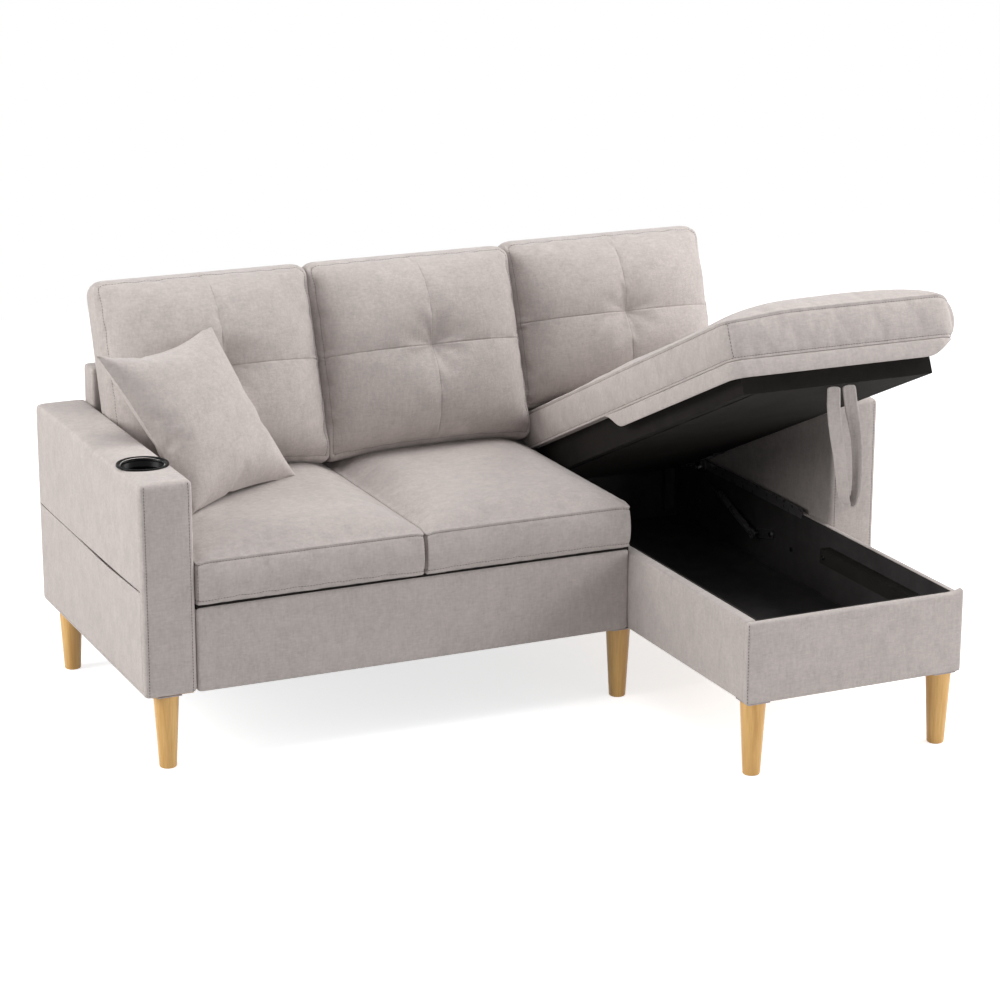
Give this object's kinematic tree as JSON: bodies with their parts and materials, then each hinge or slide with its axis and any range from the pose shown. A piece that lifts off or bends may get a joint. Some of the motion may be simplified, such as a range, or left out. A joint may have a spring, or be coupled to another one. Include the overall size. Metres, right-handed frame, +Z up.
{
  "type": "corner sofa",
  "caption": "Corner sofa with tufted back cushions, a cup holder and side pocket in its left arm, and a chaise whose hinged lid opens on gas struts over a storage box.",
  "frame": {"origin": "on the floor, below the centre of the whole outline", "axes": "+X to the right as seen from the front, along the seats; +Y from the front of the chaise to the back; +Z up"},
  "size_m": [1.78, 1.305, 0.9557],
  "materials": {
    "linen": "light warm greige velvety linen weave",
    "nonwoven": "black spunbond non-woven",
    "webbing": "elastic webbing",
    "strap_web": "flat strap in the cover fabric",
    "frame_wood": "plain softwood and board",
    "cleat_wood": "batten covered in black non-woven",
    "leg_wood": "satin golden pale wood",
    "black_steel": "black powder coat",
    "strut_black": "satin grey-black",
    "bright_steel": "bright zinc",
    "cup_plastic": "black gloss"
  },
  "bodies": {
    "frame": {"left_arm_cover": "linen", "right_arm_cover": "linen", "side_pocket": "linen", "back_cover": "linen", "base_front_panel": "linen", "chaise_front_panel": "linen", "chaise_left_wall": "linen", "chaise_right_wall": "linen", "chaise_rear_wall": "frame_wood", "chaise_floor": "frame_wood", "left_arm_frame": "frame_wood", "right_arm_frame": "frame_wood", "base_front_rail": "frame_wood", "base_rear_rail": "frame_wood", "base_left_rail": "frame_wood", "base_centre_rail": "frame_wood", "base_right_rail": "frame_wood", "back_top_rail": "frame_wood", "back_posts": "frame_wood", "lid_cleats": "cleat_wood", "seat_webbing": "webbing", "seat_deck": "nonwoven", "base_dust_cloth": "nonwoven", "chaise_lining": "nonwoven", "cup_holder": "cup_plastic", "rear_brackets": "black_steel", "left_wall_rail": "black_steel", "right_wall_rail": "black_steel", "left_strut_foot": "black_steel", "right_strut_foot": "black_steel", "hinge_pins": "bright_steel", "wall_bolts": "bright_steel", "leg_plates": "bright_steel", "leg_arm_left_front": "leg_wood", "leg_arm_left_rear": "leg_wood", "leg_arm_right_front": "leg_wood", "leg_arm_right_rear": "leg_wood", "leg_base_front": "leg_wood", "leg_base_rear": "leg_wood", "leg_chaise_left": "leg_wood", "leg_chaise_right": "leg_wood"},
    "lid": {"lid_frame": "frame_wood", "lid_underlining": "nonwoven", "lid_skirt": "linen", "lid_cushion": "linen", "left_lid_plate": "black_steel", "right_lid_plate": "black_steel", "lid_bolts": "bright_steel"},
    "strap": {"lid_pull_strap": "strap_web"},
    "left_cylinder": {"left_strut_cylinder": "strut_black"},
    "right_cylinder": {"right_strut_cylinder": "strut_black"},
    "left_rod": {"left_strut_rod": "bright_steel"},
    "right_rod": {"right_strut_rod": "bright_steel"},
    "seat_left": {"seat_cushion_left": "linen"},
    "seat_middle": {"seat_cushion_middle": "linen"},
    "back_left": {"back_cushion_left": "linen"},
    "back_middle": {"back_cushion_middle": "linen"},
    "back_right": {"back_cushion_right": "linen"},
    "pillow": {"throw_pillow": "linen"}
  },
  "joints": [
    {"name": "lid_hinge", "type": "hinge", "parent": "frame", "child": "lid", "pos_m": [0, 0.5765, 0.348], "axis": [-1, 0, 0], "range_deg": [-24, 0], "stiffness_Nm_per_rad": 80, "springref_deg": 137.51},
    {"name": "strap_fold", "type": "hinge", "parent": "lid", "child": "strap", "pos_m": [0.5495, -0.53637, 0.80772], "axis": [-1, 0, 0], "range_deg": [-60.5, 0]},
    {"name": "seat_cushion_left_pull", "type": "slide", "parent": "frame", "child": "seat_left", "axis": [0, -1, 0], "range_m": [0, 0.3]},
    {"name": "seat_cushion_middle_pull", "type": "slide", "parent": "frame", "child": "seat_middle", "axis": [0, -1, 0], "range_m": [0, 0.3]},
    {"name": "back_cushion_left_lift", "type": "slide", "parent": "frame", "child": "back_left", "axis": [0, 0.3173, 0.9483], "range_m": [0, 0.25]},
    {"name": "back_cushion_middle_lift", "type": "slide", "parent": "frame", "child": "back_middle", "axis": [0, 0.3173, 0.9483], "range_m": [0, 0.25]},
    {"name": "back_cushion_right_rise", "type": "slide", "parent": "frame", "child": "back_right", "axis": [0, 0.3173, 0.9483], "range_m": [-0.0481, 0]},
    {"name": "throw_pillow_lift", "type": "slide", "parent": "seat_left", "child": "pillow", "axis": [0, -0.5, 0.866], "range_m": [0, 0.25]},
    {"name": "left_strut_swing", "type": "hinge", "parent": "frame", "child": "left_cylinder", "pos_m": [0.301, 0.1935, 0.25], "axis": [-1, 0, 0], "range_deg": [0, 8.6]},
    {"name": "left_strut_slide", "type": "slide", "parent": "left_cylinder", "child": "left_rod", "axis": [0, 0.9465, 0.3227], "range_m": [-0.0027, 0]},
    {"name": "right_strut_swing", "type": "hinge", "parent": "frame", "child": "right_cylinder", "pos_m": [0.7345, 0.1935, 0.25], "axis": [-1, 0, 0], "range_deg": [0, 8.6]},
    {"name": "right_strut_slide", "type": "slide", "parent": "right_cylinder", "child": "right_rod", "axis": [0, 0.9465, 0.3227], "range_m": [-0.0027, 0]}
  ],
  "couplings": [
    {"joint": "strap_fold", "follows": "lid_hinge", "ratio": 2.5},
    {"joint": "back_cushion_right_rise", "follows": "lid_hinge", "m_per_rad": 0.1146},
    {"joint": "left_strut_swing", "follows": "lid_hinge", "ratio": -0.3574},
    {"joint": "right_strut_swing", "follows": "lid_hinge", "ratio": -0.3574},
    {"joint": "left_strut_slide", "follows": "lid_hinge", "m_per_rad": 0.0064},
    {"joint": "right_strut_slide", "follows": "lid_hinge", "m_per_rad": 0.0064}
  ]
}
